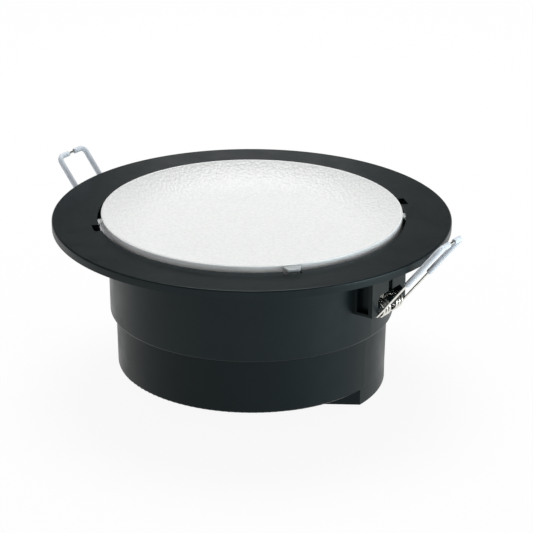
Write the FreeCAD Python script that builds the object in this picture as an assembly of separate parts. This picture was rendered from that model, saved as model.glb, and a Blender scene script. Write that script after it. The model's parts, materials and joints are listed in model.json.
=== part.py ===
import FreeCAD, Part
import math
import os

# Round recessed downlight for an outdoor soffit, lying face up.
# Millimetres. +Z points out of the ceiling into the room, z = 0 is the back of the trim flange,
# the plane that meets the soffit. The two spring clips lie on the X axis.

Vector = FreeCAD.Vector
Z_AXIS = Vector(0, 0, 1)
Y_AXIS = Vector(0, 1, 0)
ORIGIN = Vector(0, 0, 0)

# ---------------------------------------------------------------- bayonet and diffuser
rim_r = 86.7
rim_stand = 2.9
rim_wall = 2.0
rim_top_w = 1.5
rim_chamfer = 0.4
rim_draft = 0.3
dish_wall_run = 33.2
dish_depth = 12.1
dish_t = 2.0
tab_azimuth = -40.5
tab_reach = 4.9
tab_base_w = 10.2
tab_tip_w = 6.8
tab_t = 1.7
tab_play = 0.4
notch_count = 4
notch_azimuth = 49.0
notch_half_angle = 3.1
twist_angle = 10.5
lug_half_angle = 2.3
lug_reach = 5.7
lug_t = 1.8
lug_play = 0.4
ramp_reach = 1.4
ramp_angle = 24.0
seal_t = 1.5
seal_w = 4.2
seal_inset = 0.3
seal_play = 0.3

# ---------------------------------------------------------------- trim flange and collar
flange_rim_w = 6.0
flange_t = 4.7
flange_edge_fillet = 0.9
rim_gap = 2.1
lip_t = 1.8
lug_clearance = 0.6
pocket_floor_z = -2.5
ledge_t = 2.0
ledge_lap = 3.2
skirt_wall = 1.8
collar_inset = 11.6
collar_draft = 0.8
collar_len = 51.8
collar_wall = 2.6
collar_edge_fillet = 1.2
joint_ring_top_z = -30.5
joint_ring_t = 2.5

# ---------------------------------------------------------------- flange gasket
gasket_gap = 2.2
gasket_w = 12.0
gasket_groove = 1.7
gasket_stand = 0.8
gasket_play = 0.3

# ---------------------------------------------------------------- rear can
can_collar_gap = 0.8
can_draft = 0.7
can_bottom_z = -84.7
can_wall = 2.6
can_floor_t = 2.5
can_edge_fillet = 0.9
plate_ledge_w = 2.5
body_seal_t = 1.5
body_seal_w = 2.6

# ---------------------------------------------------------------- terminal compartment
bump_azimuth = 32.5
bump_depth = 9.0
bump_half_w = 45.0
bump_inner_wall = 8.0
pocket_inset = 16.3
pocket_len = 26.0
pocket_half_y = 28.0
pocket_depth = 24.0
pocket_wall = 2.0
lid_margin_x = 3.0
lid_margin_y = 9.0
lid_t = 2.0
lid_corner = 4.0
lid_play = 0.25
lid_seal_t = 1.0
lid_seal_w = 1.6
lid_seal_inset = 0.5
lid_screw_gap = 5.0
cable_r = 4.0
grommet_neck_r = 6.8
grommet_flange_r = 9.2
grommet_flange_t = 1.8
grommet_inset = 11.0
block_side_gap = 4.5
block_end_gap = 2.0
block_len = 30.0
block_h = 14.0
way_count = 3

# ---------------------------------------------------------------- light engine
spreader_t = 2.5
spreader_play = 0.4
pad_t = 0.5
board_t = 1.6
chip_len = 3.5
chip_w = 2.8
chip_h = 0.8
chip_ring_radii = (12.0, 25.0, 38.0)
chip_ring_counts = (6, 12, 18)
connector_w = 7.0
connector_inset = 9.5
connector_half_y = 5.0
connector_h = 4.0
board_screw_inset = 4.0
reflector_seat_w = 4.0
reflector_drop = 0.7
reflector_gap = 0.6
reflector_len = 32.2
reflector_t = 1.4

# ---------------------------------------------------------------- driver
driver_pocket_gap = 32.0
driver_can_gap = 3.19
driver_half_y = 50.0
driver_h = 24.0
driver_wall = 1.6
driver_lid_t = 1.6
driver_board_rise = 6.0
driver_board_t = 1.6
driver_board_play = 0.5
ear_len = 9.0
ear_half_w = 5.0
ear_t = 3.0
foot_h = 8.0
outlet_inset_x = 12.0
outlet_inset_y = 14.0
core_half_x = 12.0
core_half_y = 11.0
core_h = 13.0
core_rise = 2.0
bobbin_half_x = 10.0
bobbin_half_y = 13.0
bobbin_h = 14.0
capacitor_x = (-13.0, 4.0, -14.0)
capacitor_y = (-32.0, -32.0, 30.0)
capacitor_r = (6.0, 5.0, 4.0)
capacitor_h = (13.0, 12.5, 11.0)
capacitor_fillet = 0.8
corner_post = 4.0

# ---------------------------------------------------------------- screws
screw_r = 1.6
screw_play = 0.1
hole_play = 0.35
head_r = 3.0
head_h = 2.1
boss_r = 3.6
can_screw_len = 13.0
can_screw_inset = 5.0
can_boss_len = 20.0
spreader_screw_len = 9.0
spreader_screw_inset = 10.4
spreader_boss_len = 12.0
board_screw_len = 4.4
driver_screw_len = 8.0
lid_screw_len = 9.0
drive_slot_w = 0.7
drive_slot_depth = 0.8

# ---------------------------------------------------------------- spring clips
bracket_inset = 1.1
bracket_face_t = 2.5
bracket_half_w = 17.5
bracket_drop = 2.5
bracket_root_lap = 2.7
window_play = 0.4
window_top_gap = 3.5
window_chamfer = 2.9
side_wall_t = 2.0
side_rib_w = 3.1
shelf_t = 1.6
spring_shift = 1.5
pivot_inset = 3.3
pivot_z = -28.8
spigot_r = 2.75
spigot_gap = 2.2
wire_r = 0.7
coil_r = 5.0
coil_turn_count = 3
coil_inner_y = 2.45
leg_half_w = 11.8
leg_len = 61.0
rest_gap = 1.3
loop_corner_r = 3.6
sleeve_wall = 0.9
sleeve_play = 0.05
sleeve_start_len = 28.0
sleeve_end_y = 2.6
hook_half_w = 1.15
hook_rise = 13.6
hook_slot_play = 0.15
hook_lean = 6.3

# ---------------------------------------------------------------- leads
lead_r = 0.9
lead_gap = 3.2
lead_hole_gap = 6.5
lead_tail = 6.0

# ---------------------------------------------------------------- worked out from the above
rim_edge_r = rim_r - rim_top_w
dish_floor_r = rim_edge_r - dish_wall_run
tab_r = rim_r + tab_reach
lug_r = rim_r + lug_reach
ramp_r = rim_r + ramp_reach
opening_r = rim_r + rim_gap
pocket_r = lug_r + lug_clearance
skirt_r = pocket_r + skirt_wall
seal_outer_r = rim_r - seal_inset
ledge_inner_r = seal_outer_r - seal_w - ledge_lap
gasket_inner_r = skirt_r + gasket_gap
gasket_outer_r = gasket_inner_r + gasket_w
flange_r = gasket_outer_r + flange_rim_w
collar_top_r = skirt_r - collar_inset
collar_low_r = collar_top_r - collar_draft
can_top_r = collar_low_r - collar_wall - can_collar_gap
can_low_r = can_top_r - can_draft
rim_top_z = flange_t + rim_stand
dish_floor_z = rim_top_z - dish_depth
collar_low_z = -collar_len
joint_ring_low_z = joint_ring_top_z - joint_ring_t
can_top_z = joint_ring_low_z - body_seal_t
can_inner_r = can_top_r - can_wall
can_low_inner_r = can_inner_r - plate_ledge_w
can_floor_z = can_bottom_z + can_floor_t
bump_low_z = can_bottom_z - bump_depth
pocket_top_z = bump_low_z + pocket_depth
lid_rebate = lid_t + lid_seal_t
can_screw_circle = can_inner_r - can_screw_inset
spreader_screw_circle = can_inner_r - spreader_screw_inset
board_r = spreader_screw_circle - head_r - 1.0
reflector_base_r = board_r - reflector_seat_w
board_screw_r = reflector_base_r - board_screw_inset
reflector_top_r = ledge_inner_r - reflector_gap - reflector_t
pocket_x = (can_low_r - pocket_inset - pocket_len, can_low_r - pocket_inset)
bump_inner_x = pocket_x[0] - bump_inner_wall
lid_screw_y = pocket_half_y + lid_screw_gap
grommet_y = pocket_half_y - grommet_inset
block_x = (pocket_x[0] + block_side_gap, pocket_x[1] - block_side_gap)
block_y = (block_end_gap - pocket_half_y, block_end_gap - pocket_half_y + block_len)
driver_corner_r = can_low_inner_r - driver_can_gap
driver_x = (-math.sqrt(driver_corner_r ** 2 - driver_half_y ** 2), pocket_x[0] - driver_pocket_gap)
ear_x = (driver_x[0] + driver_x[1]) / 2
reflector_top_z = pocket_floor_z - ledge_t - reflector_drop
reflector_low_z = reflector_top_z - reflector_len
joint_ring_inner_r = can_screw_circle - head_r - screw_play - 0.3
board_top_z = reflector_low_z
board_low_z = board_top_z - board_t
pad_low_z = board_low_z - pad_t
spreader_low_z = pad_low_z - spreader_t
driver_top_z = can_floor_z + driver_h
driver_lid_z = driver_top_z + driver_lid_t
connector_x = (board_r - connector_inset - connector_w, board_r - connector_inset)
bracket_face_x = skirt_r - bracket_inset
bracket_root_x = collar_top_r - bracket_root_lap
side_rib_x = bracket_root_x + side_rib_w
pivot_x = bracket_face_x - pivot_inset
bracket_low_z = pivot_z - bracket_drop
window_half_w = leg_half_w + wire_r + window_play
window_top_z = pivot_z + coil_r + window_top_gap
mean_coil_r = coil_r - wire_r
sleeve_bore_r = wire_r + sleeve_play
sleeve_r = sleeve_bore_r + sleeve_wall
hook_top_x = pivot_x - mean_coil_r + hook_lean
hook_top_z = pivot_z + hook_rise
# The arm's angle leaves rest_gap between the sleeve and the flange's rim.
rim_from_pivot_x = flange_r - pivot_x
rim_distance = math.hypot(rim_from_pivot_x, pivot_z)
rest_offset = sleeve_r + rest_gap - mean_coil_r
leg_angle = math.degrees(math.atan2(-pivot_z, rim_from_pivot_x) - math.asin(rest_offset / rim_distance))


# ---------------------------------------------------------------- helpers
def on_circle(radius, azimuth, z=0.0):
    angle = math.radians(azimuth)
    return Vector(radius * math.cos(angle), radius * math.sin(angle), z)


def turned(points):
    """Solid of revolution about Z through (radius, z) corners."""
    corners = [Vector(r, 0, z) for r, z in points]
    face = Part.Face(Part.makePolygon(corners + corners[:1]))
    return face.revolve(ORIGIN, Z_AXIS, 360)


def disc(radius, low, high, centre=ORIGIN):
    return Part.makeCylinder(radius, high - low, Vector(centre.x, centre.y, low), Z_AXIS)


def ring(inner, outer, low, high):
    return disc(outer, low, high).cut(disc(inner, low - 1, high + 1))


def block(x_span, y_span, z_span):
    corner = Vector(x_span[0], y_span[0], z_span[0])
    return Part.makeBox(x_span[1] - x_span[0], y_span[1] - y_span[0], z_span[1] - z_span[0], corner)


def rotated(shape, azimuth):
    copy = shape.copy()
    copy.rotate(ORIGIN, Z_AXIS, azimuth)
    return copy


def around(shape, count, start=0.0):
    return [rotated(shape, start + k * 360.0 / count) for k in range(count)]


def sector(inner, outer, low, high, azimuth, half_angle):
    """Piece of a ring, half_angle to each side of azimuth."""
    corners = [Vector(inner, 0, low), Vector(outer, 0, low), Vector(outer, 0, high), Vector(inner, 0, high)]
    face = Part.Face(Part.makePolygon(corners + corners[:1]))
    return rotated(face.revolve(ORIGIN, Z_AXIS, 2 * half_angle), azimuth - half_angle)


def prism_x(points, low_x, high_x):
    """Solid between two X planes on (y, z) corners."""
    corners = [Vector(low_x, y, z) for y, z in points]
    return Part.Face(Part.makePolygon(corners + corners[:1])).extrude(Vector(high_x - low_x, 0, 0))


def prism_z(points, low, high):
    corners = [Vector(x, y, low) for x, y in points]
    return Part.Face(Part.makePolygon(corners + corners[:1])).extrude(Vector(0, 0, high - low))


def joined(shapes):
    return shapes[0].multiFuse(shapes[1:]).removeSplitter() if len(shapes) > 1 else shapes[0]


def drilled(shape, cutters):
    return shape.cut(cutters)


def rounded_box(x_span, y_span, z_span, corner):
    body = block(x_span, y_span, z_span)
    upright = [e for e in body.Edges if abs(e.Vertexes[0].Z - e.Vertexes[1].Z) > 1e-6]
    return body.makeFillet(corner, upright)


def pan_screw(length, radius=screw_r, head=head_r, height=head_h):
    """Screw pointing down, its head's seat at the origin, with a driving slot."""
    body = disc(radius, -length, 0).fuse(disc(head, 0, height))
    top = [e for e in body.Edges if abs(e.BoundBox.ZMin - height) < 1e-6]
    body = body.makeFillet(height * 0.4, top)
    slot = block((-head, head), (-drive_slot_w / 2, drive_slot_w / 2), (height - drive_slot_depth, height + 1))
    return body.cut(slot)


def flat_screw(length, radius=screw_r, head=head_r):
    """Countersunk screw pointing up, its flush face at the origin, with a driving slot."""
    cone = Part.makeCone(head, radius, head - radius, ORIGIN, Z_AXIS)
    slot = block((-head, head), (-drive_slot_w / 2, drive_slot_w / 2), (-1, drive_slot_depth))
    return cone.fuse(disc(radius, 0, length)).cut(slot)


def moved(shape, place):
    copy = shape.copy()
    copy.translate(place)
    return copy


def arc_through(start, start_dir, end):
    """Circular arc from start, leaving along start_dir, to end."""
    chord = end - start
    side = chord - start_dir * chord.dot(start_dir)
    if side.Length < 1e-9:
        return Part.LineSegment(start, end).toShape()
    side.normalize()
    radius = chord.Length ** 2 / (2 * chord.dot(side))
    centre = start + side * radius
    middle = (start + end) * 0.5 - centre
    middle.normalize()
    if chord.dot(start_dir) < 0:
        middle = middle * -1
    return Part.Arc(start, centre + middle * radius, end).toShape()


def biarc(start, start_dir, end, end_dir):
    """Two arcs that join two points and their directions smoothly."""
    chord = end - start
    total = start_dir + end_dir
    spread = 2 * (1 - start_dir.dot(end_dir))
    if spread < 1e-9:
        return [Part.LineSegment(start, end).toShape()]
    along = chord.dot(total)
    reach = (-along + math.sqrt(along * along + spread * chord.dot(chord))) / spread
    meet = (start + end + (start_dir - end_dir) * reach) * 0.5
    last = arc_through(end, end_dir * -1, meet)
    return [arc_through(start, start_dir, meet), last]


def bent_path(points):
    """Straight runs joined by tangent arcs as large as the runs allow."""
    edges = []
    start = points[0]
    for before, corner, after in zip(points, points[1:], points[2:]):
        incoming = corner - before
        outgoing = after - corner
        reach = 0.45 * min(incoming.Length, outgoing.Length)
        incoming.normalize()
        outgoing.normalize()
        arc_start = corner - incoming * reach
        arc_end = corner + outgoing * reach
        edges.append(Part.LineSegment(start, arc_start).toShape())
        edges.append(arc_through(arc_start, incoming, arc_end))
        start = arc_end
    edges.append(Part.LineSegment(start, points[-1]).toShape())
    return edges


def swept(edges, start, direction, radius):
    """Round tube along edges that start at start, heading along direction."""
    circle = Part.Wire(Part.makeCircle(radius, start, direction))
    return Part.Wire(edges).makePipeShell([circle], True, False)


def lead(points, radius=lead_r):
    return swept(bent_path(points), points[0], points[1] - points[0], radius)


# ---------------------------------------------------------------- trim and bracket
def bracket():
    """One spring bracket, on the +X side: face plate, side walls and coil spigots."""
    plate = (bracket_face_x - bracket_face_t, bracket_face_x)
    face = block(plate, (-bracket_half_w, bracket_half_w), (bracket_low_z, 0))
    low_y, high_y = spring_shift - window_half_w, spring_shift + window_half_w
    shoulder_z = window_top_z - window_chamfer
    window = prism_x([(low_y, bracket_low_z - 1), (high_y, bracket_low_z - 1), (high_y, shoulder_z),
                      (high_y - window_chamfer, window_top_z), (low_y + window_chamfer, window_top_z),
                      (low_y, shoulder_z)], plate[0] - 1, plate[1] + 1)
    slot_half = hook_half_w + wire_r + hook_slot_play
    slot = block((plate[0] - 1, plate[1] + 1), (spring_shift - slot_half, spring_shift + slot_half),
                 (window_top_z - 1, hook_top_z + wire_r + hook_slot_play))
    solids = [face.cut([window, slot])]
    for side in (-1, 1):
        inner_y = spring_shift + side * window_half_w
        outer_y = inner_y + side * side_wall_t
        edge_y = side * bracket_half_w
        wall_y = sorted((inner_y, outer_y))
        solids.append(block((bracket_root_x, bracket_face_x), wall_y, (bracket_low_z, 0)))
        rib_y = sorted((outer_y, edge_y))
        solids.append(block((bracket_root_x, side_rib_x), rib_y, (bracket_low_z, 0)))
        solids.append(block((bracket_root_x, bracket_face_x), rib_y, (bracket_low_z, bracket_low_z + shelf_t)))
        start = Vector(pivot_x, spring_shift + side * spigot_gap, pivot_z)
        length = window_half_w - spigot_gap + side_wall_t / 2
        solids.append(Part.makeCylinder(spigot_r, length, start, Y_AXIS * side))
    return solids


def trim_housing():
    ledge_low_z = pocket_floor_z - ledge_t
    outer = turned([(ledge_inner_r, ledge_low_z), (skirt_r, ledge_low_z), (skirt_r, 0), (flange_r, 0),
                    (flange_r, flange_t), (ledge_inner_r, flange_t)])
    rim = [e for e in outer.Edges if abs(e.BoundBox.XMax - flange_r) < 1e-6
           and abs(e.BoundBox.ZMin - flange_t) < 1e-6]
    outer = outer.makeFillet(flange_edge_fillet, rim)
    lip_low_z = flange_t - lip_t
    recess = turned([(0, pocket_floor_z), (pocket_r, pocket_floor_z), (pocket_r, lip_low_z),
                     (opening_r, lip_low_z), (opening_r, flange_t + 1), (0, flange_t + 1)])
    ledge_hole = disc(ledge_inner_r, ledge_low_z - 1, pocket_floor_z + 1)
    notch = sector(opening_r - 2, pocket_r, lip_low_z - 0.5, flange_t + 1, 0, notch_half_angle)
    groove = ring(gasket_inner_r - gasket_play, gasket_outer_r + gasket_play, -1, gasket_groove)
    top = outer.cut([recess, ledge_hole, groove] + around(notch, notch_count, notch_azimuth))
    collar = turned([(collar_top_r - collar_wall, 0), (collar_top_r, 0), (collar_low_r, collar_low_z),
                     (collar_low_r - collar_wall, collar_low_z)])
    low_edge = [e for e in collar.Edges if abs(e.BoundBox.XMax - collar_low_r) < 1e-6
                and abs(e.BoundBox.ZMax - collar_low_z) < 1e-6]
    collar = collar.makeFillet(collar_edge_fillet, low_edge)
    collar = collar.cut(disc(flange_r, pocket_floor_z, 1))
    joint_ring = ring(joint_ring_inner_r, collar_top_r - collar_wall / 2, joint_ring_low_z, joint_ring_top_z)
    brackets = []
    for solid in bracket():
        brackets += around(solid, 2)
    body = joined([top, collar, joint_ring] + brackets)
    inside = disc(pocket_r, pocket_floor_z, flange_t - lip_t)
    screw_hole = disc(screw_r + hole_play, joint_ring_low_z - 1, joint_ring_top_z + 1,
                      on_circle(can_screw_circle, 0))
    return body.cut([inside] + around(screw_hole, 4, 45))


def soffit_gasket():
    return ring(gasket_inner_r, gasket_outer_r, -gasket_stand, gasket_groove)


# ---------------------------------------------------------------- diffuser
def diffuser():
    run = rim_edge_r - dish_floor_r
    rise = dish_depth - 0.3
    bend = (run * run + rise * rise) / (2 * rise)
    bend_z = dish_floor_z + bend
    wall_r = rim_r - rim_wall

    def dish_z(radius, curve):
        return bend_z - math.sqrt(curve * curve - (radius - dish_floor_r) ** 2)

    def dish_arc(r_from, r_to, curve):
        points = [Vector(r, 0, dish_z(r, curve)) for r in (r_from, (r_from + r_to) / 2, r_to)]
        return Part.Arc(*points).toShape()

    def line(*points):
        ends = [Vector(r, 0, z) for r, z in points]
        return [Part.LineSegment(a, b).toShape() for a, b in zip(ends, ends[1:])]

    low_z = pocket_floor_z + seal_t + seal_play
    under = bend + dish_t
    edges = line((0, dish_floor_z), (dish_floor_r, dish_floor_z))
    edges.append(dish_arc(dish_floor_r, rim_edge_r, bend))
    edges += line((rim_edge_r, dish_z(rim_edge_r, bend)), (rim_edge_r + rim_draft, rim_top_z),
                  (rim_r - rim_chamfer, rim_top_z), (rim_r, rim_top_z - rim_chamfer), (rim_r, low_z), (wall_r, low_z),
                  (wall_r, dish_z(wall_r, under)))
    edges.append(dish_arc(wall_r, dish_floor_r, under))
    edges += line((dish_floor_r, dish_floor_z - dish_t), (0, dish_floor_z - dish_t), (0, dish_floor_z))
    body = Part.Face(Part.Wire(edges)).revolve(ORIGIN, Z_AXIS, 360)
    lug_top_z = flange_t - lip_t - lug_play
    root_r = rim_r - rim_wall / 2
    lug = sector(root_r, lug_r, lug_top_z - lug_t, lug_top_z, 0, lug_half_angle)
    ramp = sector(root_r, ramp_r, lug_top_z - lug_t, lug_top_z, ramp_angle / 2, ramp_angle / 2)
    tab_low_z = flange_t + tab_play
    tab = prism_z([(root_r, -tab_base_w / 2), (rim_r, -tab_base_w / 2), (tab_r, -tab_tip_w / 2),
                   (tab_r, tab_tip_w / 2), (rim_r, tab_base_w / 2), (root_r, tab_base_w / 2)],
                  tab_low_z, tab_low_z + tab_t)
    lug_azimuth = notch_azimuth - twist_angle
    extras = around(lug, notch_count, lug_azimuth) + around(ramp, notch_count, lug_azimuth)
    return joined([body] + extras + [rotated(tab, tab_azimuth)])


def diffuser_seal():
    return ring(seal_outer_r - seal_w, seal_outer_r, pocket_floor_z, pocket_floor_z + seal_t)


# ---------------------------------------------------------------- rear can
def compartment(shape):
    """Turn a solid made about the X axis to the terminal compartment's side."""
    return rotated(shape, bump_azimuth)


def lid_outline(low, high, grow=0.0):
    x_span = (pocket_x[0] - lid_margin_x - grow, pocket_x[1] + lid_margin_x + grow)
    half = pocket_half_y + lid_margin_y + grow
    return rounded_box(x_span, (-half, half), (low, high), lid_corner + grow)


def rear_can():
    ledge_z = spreader_low_z
    shell = turned([(0, can_bottom_z), (can_low_r, can_bottom_z), (can_top_r, collar_low_z),
                    (can_top_r, can_top_z), (can_inner_r, can_top_z), (can_inner_r, ledge_z),
                    (can_low_inner_r, ledge_z), (can_low_inner_r, can_floor_z), (0, can_floor_z)])
    low_edge = [e for e in shell.Edges if abs(e.BoundBox.XMax - can_low_r) < 1e-6
                and abs(e.BoundBox.ZMax - can_bottom_z) < 1e-6]
    shell = shell.makeFillet(can_edge_fillet, low_edge)
    solids = [shell]
    bump = disc(can_low_r, bump_low_z, can_bottom_z + 1)
    bump = bump.common(block((bump_inner_x, flange_r), (-bump_half_w, bump_half_w), (bump_low_z, can_floor_z)))
    solids.append(compartment(bump))
    box_x = (pocket_x[0] - pocket_wall, pocket_x[1] + pocket_wall)
    half = pocket_half_y + pocket_wall
    solids.append(compartment(block(box_x, (-half, half), (can_floor_z - 1, pocket_top_z + pocket_wall))))
    for side in (-1, 1):
        middle_x = (pocket_x[0] + pocket_x[1]) / 2
        place = Vector(middle_x, side * lid_screw_y, 0)
        solids.append(compartment(disc(boss_r, can_floor_z - 1, bump_low_z + lid_screw_len + 5, place)))
        foot = Vector(ear_x, side * (driver_half_y + ear_len / 2), 0)
        solids.append(compartment(disc(boss_r, can_floor_z - 1, can_floor_z + foot_h, foot)))
    post_top_z = joint_ring_low_z - 0.3
    post = disc(boss_r, post_top_z - can_boss_len, post_top_z, on_circle(can_screw_circle, 0))
    web = block((can_screw_circle, can_inner_r + 1), (-2, 2), (post_top_z - can_boss_len, can_top_z - 1))
    solids += around(post.fuse(web), 4, 45)
    stand = disc(boss_r, ledge_z - spreader_boss_len, ledge_z, on_circle(spreader_screw_circle, 0))
    stay = block((spreader_screw_circle, can_low_inner_r + 1), (-2, 2), (ledge_z - spreader_boss_len, ledge_z))
    solids += around(stand.fuse(stay), 4)
    body = joined(solids)
    pilot_r = screw_r + screw_play
    cuts = [compartment(block(pocket_x, (-pocket_half_y, pocket_half_y), (bump_low_z - 1, pocket_top_z)))]
    cuts.append(compartment(lid_outline(bump_low_z - 1, bump_low_z + lid_rebate, lid_play)))
    for side in (-1, 1):
        place = Vector((pocket_x[0] + pocket_x[1]) / 2, side * lid_screw_y, 0)
        cuts.append(compartment(disc(pilot_r, bump_low_z, bump_low_z + lid_screw_len + 1, place)))
        foot = Vector(ear_x, side * (driver_half_y + ear_len / 2), 0)
        cuts.append(compartment(disc(pilot_r, can_floor_z + foot_h - driver_screw_len + ear_t - 1,
                                     can_floor_z + foot_h + 1, foot)))
    cuts += around(disc(pilot_r, joint_ring_top_z - can_screw_len - 1, post_top_z + 1,
                        on_circle(can_screw_circle, 0)), 4, 45)
    cuts += around(disc(pilot_r, spreader_low_z + spreader_t - spreader_screw_len - 1, ledge_z + 1,
                        on_circle(spreader_screw_circle, 0)), 4)
    for y in lead_lanes():
        hole = Part.makeCylinder(lead_r + hole_play, pocket_wall + 2,
                                 Vector(pocket_x[0] - pocket_wall - 1, y, block_wire_z()), Vector(1, 0, 0))
        cuts.append(compartment(hole))
    return body.cut(cuts)


def body_seal():
    return ring(can_inner_r, can_inner_r + body_seal_w, can_top_z, joint_ring_low_z)


def can_screws():
    screw = moved(pan_screw(can_screw_len), on_circle(can_screw_circle, 0, joint_ring_top_z))
    return around(screw, 4, 45)


# ---------------------------------------------------------------- terminal compartment
def terminal_lid():
    plate = lid_outline(bump_low_z, bump_low_z + lid_t)
    middle_x = (pocket_x[0] + pocket_x[1]) / 2
    cuts = [disc(grommet_neck_r + 0.1, bump_low_z - 1, bump_low_z + lid_t + 1, Vector(middle_x, grommet_y, 0))]
    head = head_r + screw_play
    for side in (-1, 1):
        place = Vector(middle_x, side * lid_screw_y, bump_low_z)
        cuts.append(Part.makeCone(head, screw_r + screw_play, head_r - screw_r, place, Z_AXIS))
        cuts.append(disc(screw_r + screw_play, bump_low_z - 1, bump_low_z + lid_t + 1, place))
    return compartment(plate.cut(cuts))


def terminal_seal():
    low, high = bump_low_z + lid_t, bump_low_z + lid_rebate

    def outline(grow):
        half = pocket_half_y + grow
        return block((pocket_x[0] - grow, pocket_x[1] + grow), (-half, half), (low, high))

    return compartment(outline(lid_seal_inset + lid_seal_w).cut(outline(lid_seal_inset)))


def lid_screws():
    middle_x = (pocket_x[0] + pocket_x[1]) / 2
    screw = flat_screw(lid_screw_len)
    return [compartment(moved(screw, Vector(middle_x, side * lid_screw_y, bump_low_z))) for side in (-1, 1)]


def cable_grommet():
    middle_x = (pocket_x[0] + pocket_x[1]) / 2
    top_z = bump_low_z + lid_t
    profile = [(cable_r, bump_low_z - grommet_flange_t), (grommet_flange_r - 0.8, bump_low_z - grommet_flange_t),
               (grommet_flange_r, bump_low_z - 0.6), (grommet_flange_r, bump_low_z), (grommet_neck_r, bump_low_z),
               (grommet_neck_r, top_z), (grommet_flange_r - 0.4, top_z), (grommet_neck_r - 0.6, top_z + 2.4),
               (cable_r, top_z + 2.4)]
    return compartment(moved(turned(profile), Vector(middle_x, grommet_y, 0)))


def block_wire_z():
    return pocket_top_z - block_h * 0.55


def way_lanes():
    pitch = (block_y[1] - block_y[0]) / way_count
    return [block_y[0] + pitch * (k + 0.5) for k in range(way_count)]


def lead_lanes():
    return way_lanes()[:2]


def terminal_block():
    low_z = pocket_top_z - block_h
    body = rounded_box(block_x, block_y, (low_z, pocket_top_z), 1.0)
    cuts = []
    for y in way_lanes():
        start = Vector(block_x[0] - 1, y, block_wire_z())
        cuts.append(Part.makeCylinder(2.0, block_x[1] - block_x[0] + 2, start, Vector(1, 0, 0)))
        for x in terminal_screw_lanes():
            cuts.append(disc(2.3, low_z - 1, block_wire_z(), Vector(x, y, 0)))
    for y in way_lanes()[1:]:
        edge = y - (block_y[1] - block_y[0]) / way_count / 2
        cuts.append(block((block_x[0] - 1, block_x[1] + 1), (edge - 0.5, edge + 0.5), (low_z - 1, low_z + 3)))
    return compartment(body.cut(cuts))


def terminal_screw_lanes():
    return [block_x[0] + 4.0, block_x[1] - 4.0]


def terminal_screws():
    length = block_h * 0.45 - 3.0
    solids = []
    for y in way_lanes():
        for x in terminal_screw_lanes():
            screw = disc(2.1, 0, length)
            slot = block((-3, 3), (-drive_slot_w / 2, drive_slot_w / 2), (-1, drive_slot_depth))
            place = Vector(x, y, pocket_top_z - block_h + 1.2)
            solids.append(compartment(moved(screw.cut(slot), place)))
    return solids


# ---------------------------------------------------------------- light engine
def connector_place():
    return (connector_x[0] + connector_x[1]) / 2


def lead_hole_y():
    return connector_half_y + lead_hole_gap


def lead_hole(low, high):
    return disc(2 * lead_r + lead_gap / 2 + 0.6, low, high, Vector(connector_place(), lead_hole_y(), 0))


def heat_spreader():
    plate = disc(can_inner_r - spreader_play, spreader_low_z, pad_low_z)
    cuts = around(disc(boss_r + spreader_play, spreader_low_z - 1, pad_low_z + 1,
                       on_circle(can_screw_circle, 0)), 4, 45)
    cuts += around(block((can_screw_circle, can_inner_r + 1), (-2.4, 2.4), (spreader_low_z - 1, pad_low_z + 1)),
                   4, 45)
    cuts += around(disc(screw_r + hole_play, spreader_low_z - 1, pad_low_z + 1,
                        on_circle(spreader_screw_circle, 0)), 4)
    cuts += around(disc(screw_r + screw_play, spreader_low_z - 1, pad_low_z + 1,
                        on_circle(board_screw_r, 0)), 4, 45)
    cuts.append(lead_hole(spreader_low_z - 1, pad_low_z + 1))
    return plate.cut(cuts)


def engine_layer(low, high, radius):
    """Pad or board: a disc with the board's screw holes and the lead hole."""
    cuts = around(disc(screw_r + hole_play, low - 1, high + 1, on_circle(board_screw_r, 0)), 4, 45)
    cuts.append(lead_hole(low - 1, high + 1))
    return disc(radius, low, high).cut(cuts)


def thermal_pad():
    return engine_layer(pad_low_z, board_low_z, board_r - 1.0)


def led_board():
    return engine_layer(board_low_z, board_top_z, board_r)


def led_chips():
    solids = []
    chip = block((-chip_len / 2, chip_len / 2), (-chip_w / 2, chip_w / 2), (board_top_z, board_top_z + chip_h))
    for radius, count in zip(chip_ring_radii, chip_ring_counts):
        solids += around(moved(chip, Vector(radius, 0, 0)), count, 180.0 / count)
    return solids


def led_connector():
    shell = block(connector_x, (-connector_half_y, connector_half_y), (board_top_z, board_top_z + connector_h))
    cuts = [Part.makeCylinder(lead_r + 0.15, connector_half_y + 1, Vector(x, 0, board_top_z + connector_h / 2),
                              Y_AXIS) for x in led_lead_lanes()]
    return shell.cut(cuts)


def board_screws():
    screw = pan_screw(board_screw_len, head=2.8, height=1.8)
    return around(moved(screw, on_circle(board_screw_r, 0, board_top_z)), 4, 45)


def spreader_screws():
    screw = moved(pan_screw(spreader_screw_len), on_circle(spreader_screw_circle, 0, pad_low_z))
    return around(screw, 4)


def reflector():
    low, high = reflector_low_z, reflector_top_z
    return turned([(reflector_base_r, low), (reflector_base_r + reflector_t, low),
                   (reflector_top_r + reflector_t, high), (reflector_top_r, high)])


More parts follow.
